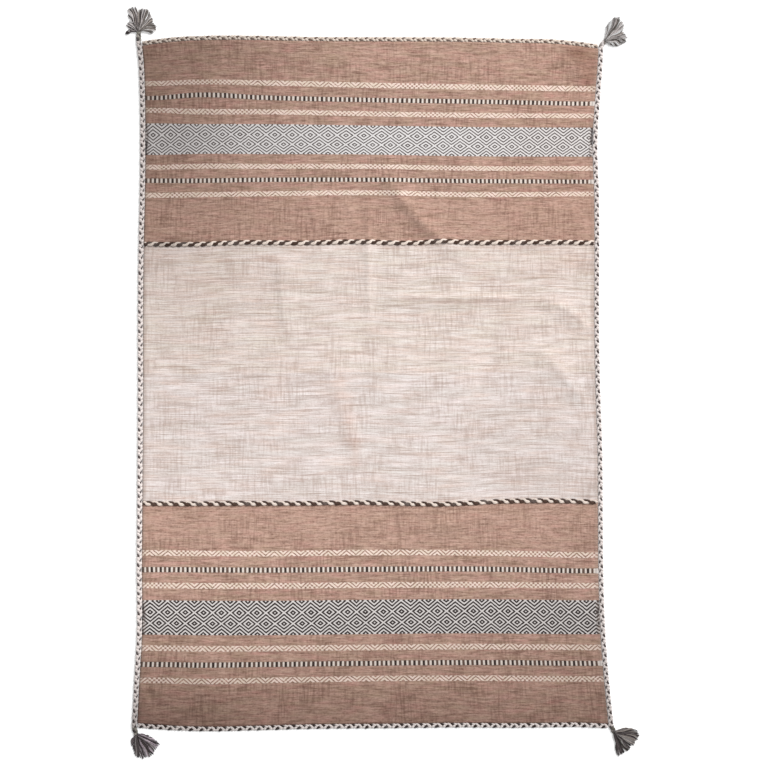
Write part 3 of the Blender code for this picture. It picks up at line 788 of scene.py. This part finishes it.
def make_tassel(name, material, ends, seed):
    """A tassel: the side plait's tail as its neck, and the loose yarns that fan out of it."""
    root_x, root_y, fan, mix, neck_colours = TASSELS[name]
    root = np.array([root_x * MM, root_y * MM, 0.0])
    rng = np.random.default_rng(seed)
    line, turns, hand, lean = ends
    neck, _ = strands_part(
        neck_line(line[-1], line[-2], root),
        SIDE_PITCH,
        SIDE_PLAIT_SIZE,
        plait_weave(hand, lean, 1.0),
        neck_colours,
        NECK_CELLS,
        seed,
        first_turn=turns,
        narrowing=([0.0, 0.5, 1.0], [1.0, 0.92, 0.84]),
    )
    centres, share, strand = yarn_lines(root, fan, rng)
    t = np.linspace(0.0, 1.0, YARN_STEPS)[None, :]
    radius = YARN_RADIUS * rng.uniform(0.8, 1.2, (YARNS, 1)) * (1.0 + 0.1 * np.sin(TURN * 3 * t))
    radius *= 1 - 0.4 * t**8
    palette = np.array(mix)
    choice = rng.random(STRANDS)[strand]
    to_end = share + rng.uniform(-0.22, 0.22, STRANDS)[strand]
    pick = np.where(to_end < 0.5, np.where(choice < 0.6, 0, 1), np.where(choice < 0.55, 2, 3))
    brightness = rng.lognormal(-0.10, 0.46, STRANDS)[strand] * rng.lognormal(0.0, 0.30, YARNS)
    colours = np.clip(palette[pick] * brightness[:, None], 0.01, 0.8)
    # Painted highlights: about one strand in eight is a light grey streak, brighter in a paler tassel.
    stray = np.minimum(3.2 * palette.mean() * SILVER_YARN, 0.7)
    colours = np.where((choice > 0.88)[:, None], stray, colours)
    # Painted shade: each yarn is darker near the root, where the yarns bunch, and at its tip.
    fading = (0.50 + 0.50 * t**0.5) * (1.0 - 0.35 * t**9)
    yarn_colours = colours[:, None, :] * fading[..., None]
    yarns = tube_part(centres, radius, radius, YARN_SIDES, yarn_colours, YARN_CELLS)
    return joined_object("yarn_tassel_" + name, [neck, yarns], material)


def math_node(operation):
    """A method of a wire that adds a Math node to it and gives the node's output."""
    return lambda wire, *others: wire.graph.math(operation, wire, *others)


class Wire:
    """An output in a node tree, on which arithmetic adds Math nodes."""

    def __init__(self, graph, socket):
        self.graph = graph
        self.socket = socket

    def __rsub__(self, other):
        return self.graph.math("SUBTRACT", other, self)

    __add__ = __radd__ = math_node("ADD")
    __mul__ = __rmul__ = math_node("MULTIPLY")
    __sub__ = math_node("SUBTRACT")
    __truediv__ = math_node("DIVIDE")
    __pow__ = math_node("POWER")
    __gt__ = math_node("GREATER_THAN")
    __lt__ = math_node("LESS_THAN")
    __abs__ = math_node("ABSOLUTE")
    floor = math_node("FLOOR")
    sign = math_node("SIGN")
    sine = math_node("SINE")
    cosine = math_node("COSINE")
    lower_of = math_node("MINIMUM")
    higher_of = math_node("MAXIMUM")
    there_and_back = math_node("PINGPONG")


class Graph:
    """Short calls that add a node to a tree, fill its inputs, and give its outputs back as wires."""

    def __init__(self, tree):
        self.tree = tree

    def put(self, socket, value):
        """Wire a socket, or give it a plain value."""
        if isinstance(value, Wire):
            self.tree.links.new(value.socket, socket)
        elif isinstance(value, (tuple, list, np.ndarray)):
            value = tuple(float(part) for part in value)
            socket.default_value = value + (1.0,) if socket.type == "RGBA" and len(value) == 3 else value
        else:
            socket.default_value = float(value)

    def add(self, kind, inputs=(), **settings):
        """The outputs of a node of a kind, with its settings and (name or number, value) for its inputs."""
        node = self.tree.nodes.new(kind)
        for key, value in settings.items():
            setattr(node, key, value)
        for key, value in inputs:
            self.put(node.inputs[key], value)
        return [Wire(self, socket) for socket in node.outputs]

    def math(self, operation, *values):
        """A Math node."""
        return self.add("ShaderNodeMath", enumerate(values), operation=operation)[0]

    def parts(self, vector):
        """The first two parts of a vector."""
        return self.add("ShaderNodeSeparateXYZ", [(0, vector)])[:2]

    def joined(self, *parts):
        """A vector from its parts."""
        return self.add("ShaderNodeCombineXYZ", enumerate(parts))[0]

    def noise(self, vector, detail=2.0):
        """Smooth noise, one cell for each unit of the vector."""
        inputs = [("Vector", vector), ("Scale", 1.0), ("Detail", detail)]
        return self.add("ShaderNodeTexNoise", inputs)[0]

    def spots(self, vector, scale, shift=(0.0, 0.0, 0.0), detail=2.0):
        """Smooth noise with so many cells to a unit of the vector each way."""
        inputs = enumerate((vector, scale, shift))
        return self.noise(self.add("ShaderNodeVectorMath", inputs, operation="MULTIPLY_ADD")[0], detail)

    def range(self, value, low, high, to_low=0.0, to_high=1.0):
        """A value carried smoothly from one range to another, and held at its ends."""
        names = ("Value", "From Min", "From Max", "To Min", "To Max")
        inputs = zip(names, (value, low, high, to_low, to_high))
        return self.add("ShaderNodeMapRange", inputs, interpolation_type="SMOOTHSTEP")[0]

    def mix(self, share, first, second, blend="MIX"):
        """Two colours mixed."""
        inputs = [("Factor", share), (6, first), (7, second)]
        return self.add("ShaderNodeMix", inputs, data_type="RGBA", blend_type=blend)[2]

    def mix_value(self, share, first, second):
        """Two numbers mixed."""
        return self.math("MULTIPLY_ADD", share, second - first, first)

    def shaded(self, colour, grey):
        """A colour times a number."""
        return self.mix(1.0, colour, self.joined(grey, grey, grey), blend="MULTIPLY")

    def bump(self, height, distance, strength):
        """A Bump node's normal."""
        inputs = [("Height", height), ("Distance", distance), ("Strength", strength)]
        return self.add("ShaderNodeBump", inputs)[0]

    def group(self, tree, **values):
        """A node group's outputs by name, its inputs given by name with spaces as underscores."""
        inputs = [(key.replace("_", " "), value) for key, value in values.items()]
        return {wire.socket.name: wire for wire in self.add("ShaderNodeGroup", inputs, node_tree=tree)}


def new_group(name, inputs, outputs):
    """An empty shader group with named sockets: its graph, its inputs as wires, its outputs' sockets."""
    tree = bpy.data.node_groups.new(name, "ShaderNodeTree")
    kinds = {"value": "NodeSocketFloat", "vector": "NodeSocketVector", "colour": "NodeSocketColor"}
    for way, sockets in (("INPUT", inputs), ("OUTPUT", outputs)):
        for label, kind in sockets.items():
            tree.interface.new_socket(label, in_out=way, socket_type=kinds[kind])
    graph = Graph(tree)
    given = {wire.socket.name: wire for wire in graph.add("NodeGroupInput")}
    return graph, given, tree.nodes.new("NodeGroupOutput").inputs


def streak_group():
    """Uneven streaks as long and as thick as asked for: noise stretched along one way."""
    inputs = {"Place": "vector", "Length": "value", "Thickness": "value", "Offset": "value"}
    graph, given, out = new_group("yarn streaks", inputs, {"Share": "value"})
    across, along = graph.parts(given["Place"])
    place = graph.joined(across / given["Length"], along / given["Thickness"], given["Offset"])
    graph.put(out["Share"], graph.range(graph.noise(place, detail=1.5), 0.3, 0.7))
    return graph.tree


def weave_group():
    """Weft beads over the warp: rows of rounded floats, each row half a warp aside of the last."""
    graph, given, out = new_group("weft faced weave", {"Place": "vector"}, {"Height": "value"})
    across, along = graph.parts(given["Place"])
    row = along / WEFT_PITCH
    bead = ((across / WARP_PITCH + row.floor() * 0.5) * np.pi).sine()
    rib = (row * np.pi).sine()
    graph.put(out["Height"], (abs(bead) * abs(rib)) ** 0.6)
    return graph.tree


def heather_group(streaks):
    """Mixed yarn: a ground colour under tinted patches, light and dark streaks, fine lines and warp lines."""
    inputs = {"Place": "vector", "Patch Length": "value", "Slub Length": "value"}
    inputs.update(dict.fromkeys(("Ground", "Slub", "Light", "Warm", "Cool"), "colour"))
    shares = ("Patch Share", "Slub Share", "Light Share", "Warp Share", "Line Share")
    inputs.update(dict.fromkeys(shares, "value"))
    graph, given, out = new_group("heather", inputs, {"Colour": "colour"})
    place = given["Place"]

    def streak(length, thickness, offset):
        """Streaks with a length and thickness in metres, from their own part of the noise."""
        return graph.group(streaks, Place=place, Length=length, Thickness=thickness, Offset=offset)["Share"]

    patch, patch_share = given["Patch Length"], given["Patch Share"]
    patch_thickness = patch * 0.22
    warm = streak(patch, patch_thickness, 3.1) ** 1.5
    cool = streak(patch * 1.3, patch_thickness, 17.7) ** 1.5
    deep = streak(patch * 0.6, patch * 0.16, 90.4) ** 2.0
    long = given["Slub Length"]
    light = streak(long, 0.0036, 8.8).higher_of(streak(0.007, 0.006, 71.3) * 0.6)
    slub = streak(long, 0.0031, 29.4).higher_of(streak(long * 0.36, 0.0028, 41.0) * 0.85)
    broken = streak(0.0052, 0.006, 23.9) * 0.5 + 0.5
    line = streak(long * 1.7, 0.0026, 83.0) ** 4.0
    gathered = graph.range(graph.spots(place, (10.0, 12.0, 0.0), (0.0, 0.0, 7.0)), 0.40, 0.62, 0.4, 1.7)
    warp = streak(0.0052, 0.050, 53.2) ** 1.6 * gathered
    layers = [
        (warm * patch_share, "Warm"),
        (cool * patch_share, "Cool"),
        (deep * (patch_share * 0.42), "Slub"),
        (light * given["Light Share"], "Light"),
        (slub**1.8 * broken * given["Slub Share"], "Slub"),
        (line * given["Line Share"], "Slub"),
        (warp * given["Warp Share"], "Slub"),
    ]
    colour = given["Ground"]
    for share, yarn in layers:
        colour = graph.mix(share, colour, given[yarn])
    graph.put(out["Colour"], colour)
    return graph.tree


def ply_group():
    """Plied yarn: threads that wind round the strand, with stray lighter and darker fibres. Its Shade darkens
    the grooves between the threads as painted shade, and carries the fibres' own tone.
    """
    inputs = {"Place": "vector", "Plies": "value", "Ply Pitch": "value"}
    graph, given, out = new_group("plied yarn", inputs, {"Height": "value", "Shade": "value"})
    around, along = graph.parts(given["Place"])
    winding = around * given["Plies"] - along / given["Ply Pitch"]
    ridge = abs((winding * np.pi).sine())
    fibre = graph.noise(graph.joined(winding * 2.0, along / 0.006, 5.0))
    graph.put(out["Height"], ridge**0.6 + fibre * 0.4)
    graph.put(out["Shade"], ridge * 0.24 + 0.72 + fibre * 0.16)
    return graph.tree


def new_material(name):
    """A material's graph, its Principled BSDF's inputs, and the material."""
    material = bpy.data.materials.new(name)
    material.use_nodes = True
    shader = material.node_tree.nodes["Principled BSDF"]
    return Graph(material.node_tree), shader.inputs, material


def yarn_material(name, ply, plies, ply_pitch):
    """Plied yarn in the colours that the piece's points carry."""
    graph, shader, material = new_material(name)
    place = graph.add("ShaderNodeUVMap", uv_map="yarn")[0]
    strand = graph.group(ply, Place=place, Plies=plies, Ply_Pitch=ply_pitch)
    colour = graph.add("ShaderNodeAttribute", attribute_name="yarn_colour")[0]
    # The base colour is darkened by the ply's Shade: painted shade in the grooves between the threads.
    graph.put(shader["Base Color"], graph.shaded(colour, strand["Shade"]))
    graph.put(shader["Roughness"], strand["Shade"] * 0.15 + 0.78)
    graph.put(shader["Normal"], graph.bump(strand["Height"], 0.0005, 0.8))
    shader["Specular IOR Level"].default_value = 0.25
    return material


def band_masks(graph, along, bands, half):
    """For like bands: the share of them at a place, and how far the place is from their middle.

    The distance keeps the rug's own way up, so patterns are not mirrored at its other end.
    """
    mask, offset = 0.0, 0.0
    for even in bands:
        from_middle = abs(along) - even * MM
        inside = abs(from_middle) < half
        mask = mask + inside
        offset = offset + from_middle * inside
    return mask, offset * along.sign()


def stripe(graph, turns, cover, soft):
    """Light lines where a count of turns is whole: one on them, nought between; cover is their share."""
    return graph.range((turns * TURN).cosine() - (cover * np.pi).cosine(), -soft, soft)


def cloth_material(streaks, weave, heather):
    """Brown ends with zigzag, dashed and diamond bands, and a cream middle, all from the weave's own map,
    darkened by the painted shade that the points carry.
    """
    graph, shader, material = new_material("woven wool and cotton")
    place = graph.add("ShaderNodeUVMap", uv_map="weave")[0]
    across, straight = graph.parts(place)
    jitter = graph.noise(graph.joined(across / 0.005, straight / 0.03), detail=1.0)
    along = straight + (jitter - 0.5) * 0.0022
    upper = along > 0.0

    patch_share = (abs(along) > 0.45) * 0.35 + 0.50
    brown = graph.group(heather, Place=place, Patch_Share=patch_share, **BROWN_CLOTH)["Colour"]
    ground, cool = graph.mix(upper, *CREAM_GROUNDS), graph.mix(upper, *CREAM_COOLS)
    cream = graph.group(heather, Place=place, Ground=ground, Cool=cool, **CREAM_CLOTH)["Colour"]
    colour = graph.mix(abs(along) < CORD_IN_WEAVE * MM, brown, cream)

    repeats = across * (2 / REPEAT) + (graph.spots(place, (9.0, 7.0, 0.0)) - 0.5) * 0.3
    to_side = repeats.there_and_back(1.0) * 2.0
    fullness = graph.spots(place, (34.0, 40.0, 0.0))

    zigzag, rise = band_masks(graph, along, ZIGZAG_BANDS, ZIGZAG_HALF)
    speck = graph.spots(place, (230.0, 300.0, 0.0), (0.0, 0.0, 9.0), detail=0.0)
    cream_share = graph.mix_value(upper, 0.17, 0.27) + fullness * 0.5 + speck * 0.36
    rise_turns = rise / ZIGZAG_LINE
    zigzag_line = stripe(graph, to_side + rise_turns, cream_share, soft=0.35)
    crossing = (repeats * (2 * TURN)).cosine() * (rise_turns * TURN).cosine()
    lozenge = graph.range(crossing + cream_share * 0.6, 0.0, 0.55)
    slipped = graph.range(graph.spots(place, (15.0, 25.0, 4.0)), 0.49, 0.62)
    zigzag_yarn = zigzag * graph.mix_value(slipped, zigzag_line, lozenge)
    dye = graph.range(graph.spots(place, (40.0, 60.0, 0.0)), 0.35, 0.65)
    # Painted shade in the furrows: the brown between the raised zigzag lines is darker.
    colour = graph.mix((zigzag - zigzag_yarn) * 0.22, colour, FURROW_SHADE_BROWN)
    colour = graph.mix(zigzag_yarn * 0.92, colour, graph.mix(dye, *ZIGZAG_CREAMS))

    dash, dash_rise = band_masks(graph, along, DASH_BANDS, DASH_HALF)
    bars = repeats * 2.0
    bar_share = graph.math("MULTIPLY_ADD", fullness, 0.3, graph.mix_value(upper, 0.29, 0.32))
    rounded = graph.range(abs(dash_rise), 0.75 * DASH_HALF, DASH_HALF, 1.0, 0.35)
    bar = stripe(graph, bars, bar_share, soft=0.5) * rounded
    dark_bar = graph.mix(graph.range((bars * np.pi).sine(), -0.6, 0.6), *DASH_DARKS)
    colour = graph.mix(dash * 0.95, colour, graph.mix(bar, dark_bar, DASH_WHITE))

    diamond, height = band_masks(graph, along, DIAMOND_BANDS, DIAMOND_HALF)
    to_row = ((height - 0.5 * DIAMOND_ROW) / DIAMOND_ROW).there_and_back(1.0) * 3.0
    white_share = graph.mix_value(upper, 0.38, 0.50) + fullness * 0.16
    ring = stripe(graph, to_side + to_row, white_share, soft=0.45)
    rings = graph.mix(ring, graph.mix(upper, *RING_DARKS), graph.mix(upper, *RING_WHITES))
    colour = graph.mix(diamond, colour, rings)

    left_edge, right_edge = (float(count) * REPEAT for count in REPEATS_THERE[[0, -1]])
    edge = graph.range((across - left_edge).lower_of(right_edge - across), 0.0, SELVEDGE, 1.0, 0.0)
    warp_ends = edge * diamond * graph.range(jitter, 0.4, 0.6)
    turned_back = edge * dash * (across > 10 * REPEAT)
    # Painted shade: the cloth is browner and greyer along its sides, beside the side plaits.
    colour = graph.mix(edge * 0.35, colour, PLAIT_SHADE_BROWN)
    colour = graph.mix(warp_ends * 0.85, colour, WARP_END_DARK)
    colour = graph.mix(turned_back * 0.85, colour, TURNED_WHITE)

    # Painted shade: the points' colour, the soft darker places and tan folds, is laid over the weave's
    # colours.
    tone = graph.add("ShaderNodeAttribute", attribute_name="yarn_colour")[0]
    colour = graph.mix(1.0, colour, tone, blend="MULTIPLY")
    beads = graph.group(weave, Place=place)["Height"]
    slub = graph.group(streaks, Place=place, Length=0.02, Thickness=0.003, Offset=61.0)["Share"]
    floats = zigzag_yarn + dash * bar + diamond * ring
    # Painted shade between the weft beads: the colour is darker where the weave is low.
    graph.put(shader["Base Color"], graph.shaded(colour, beads * 0.2 + 0.86))
    graph.put(shader["Roughness"], graph.range(slub, 0.0, 1.0, 0.82, 0.94))
    graph.put(shader["Normal"], graph.bump(beads * 0.7 + slub * 0.7 + floats * 0.7, 0.0006, 0.7))
    shader["Specular IOR Level"].default_value = 0.2
    return material


def make_floor():
    """A plain, nearly white floor."""
    bpy.ops.mesh.primitive_plane_add(size=FLOOR_SIZE, location=(0.0, 0.0, -FLOOR_DROP))
    floor = bpy.context.object
    floor.name = "floor"
    graph, shader, material = new_material("pale floor")
    graph.put(shader["Base Color"], (FLOOR_GREY, FLOOR_GREY, FLOOR_GREY, 1.0))
    graph.put(shader["Roughness"], 0.9)
    graph.put(shader["Emission Color"], (1.0, 1.0, 1.0, 1.0))
    graph.put(shader["Emission Strength"], FLOOR_GLOW)
    floor.data.materials.append(material)


def make_light_and_camera():
    """Soft even light, a little stronger from the rug's upper right, and a camera straight above."""
    scene = bpy.context.scene
    world = bpy.data.worlds.new("studio")
    world.use_nodes = True
    background = world.node_tree.nodes["Background"]
    background.inputs["Color"].default_value = (1.0, 1.0, 1.0, 1.0)
    background.inputs["Strength"].default_value = SKY_STRENGTH
    scene.world = world
    sun = bpy.data.lights.new("key", "SUN")
    sun.energy = SUN_STRENGTH
    sun.angle = np.radians(SUN_WIDTH_DEGREES)
    key = bpy.data.objects.new("key", sun)
    key.rotation_euler = np.radians(SUN_TILT_DEGREES)
    scene.collection.objects.link(key)
    lens = bpy.data.cameras.new("overhead")
    lens.lens = LENS
    lens.sensor_width = SENSOR
    camera = bpy.data.objects.new("overhead", lens)
    camera.location = (*CAMERA_MIDDLE, FIELD * LENS / SENSOR)
    scene.collection.objects.link(camera)
    scene.camera = camera
    scene.view_settings.view_transform = "Standard"


def dress(piece, node):
    """A piece rides on the rug's one body and stands for a solid of it."""
    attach(piece, "root")
    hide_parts(node)
    return piece


def main():
    """Make the rug's visible pieces, the floor, the light and the camera."""
    make_light_and_camera()
    make_floor()
    streaks = streak_group()
    ply = ply_group()
    cloth = make_cloth(cloth_material(streaks, weave_group(), heather_group(streaks)))
    dress(cloth, "cloth")
    plait_yarn = yarn_material("plait yarn", ply, 3.0, 0.009)
    cord_yarn = yarn_material("cord yarn", ply, 3.0, 0.010)
    tassel_yarn = yarn_material("tassel yarn", ply, 2.0, 0.005)

    def lay(name, node, slot, material, *strands):
        """Make a plait or a cord from what strands_part takes; gives the turns that it ends on."""
        part, turns = strands_part(*strands)
        dress(joined_object(name, [part], material), node)
        return turns

    ends = {}
    for seed, (side, hand, lean) in enumerate((("left", 1, -1), ("right", -1, 1))):
        line = side_line(side)
        strands = (line, SIDE_PITCH, SIDE_PLAIT_SIZE, plait_weave(hand, lean, SIDE_DARK_FULLNESS))
        names = ("side_plait_" + side, "side_braid_" + side, "edge_braid")
        turns = lay(*names, plait_yarn, *strands, SIDE_COLOURS, SIDE_CELLS, seed)
        ends["top_" + side] = (line, turns, hand, lean)
        ends["bottom_" + side] = (line[::-1], 0.0, -hand, -lean)
    for seed, (end, (hand, lean, dark_fullness, dark, pale)) in enumerate(END_PLAITS.items()):
        strands = (end_line(end), END_PITCH, END_PLAIT_SIZE, plait_weave(hand, lean, dark_fullness))
        names = ("end_plait_" + end, "end_braid_" + end, "edge_braid")
        lay(*names, plait_yarn, *strands, [dark, pale, pale], END_CELLS, 10 + seed)
    for seed, (which, (hand, brightness)) in enumerate(CORDS.items()):
        strands = (cord_line(which), CORD_PITCH, CORD_SIZE, cord_weave(hand))
        names = ("couched_cord_" + which, "face_cord_" + which, "face_cord")
        lay(*names, cord_yarn, *strands, [BROWN_YARN, brightness * CREAM_YARN], CORD_CELLS, 20 + seed)
    for seed, name in enumerate(TASSELS):
        tassel = make_tassel(name, tassel_yarn, ends[name], 30 + seed)
        dress(tassel, "tassel_" + name)


main()
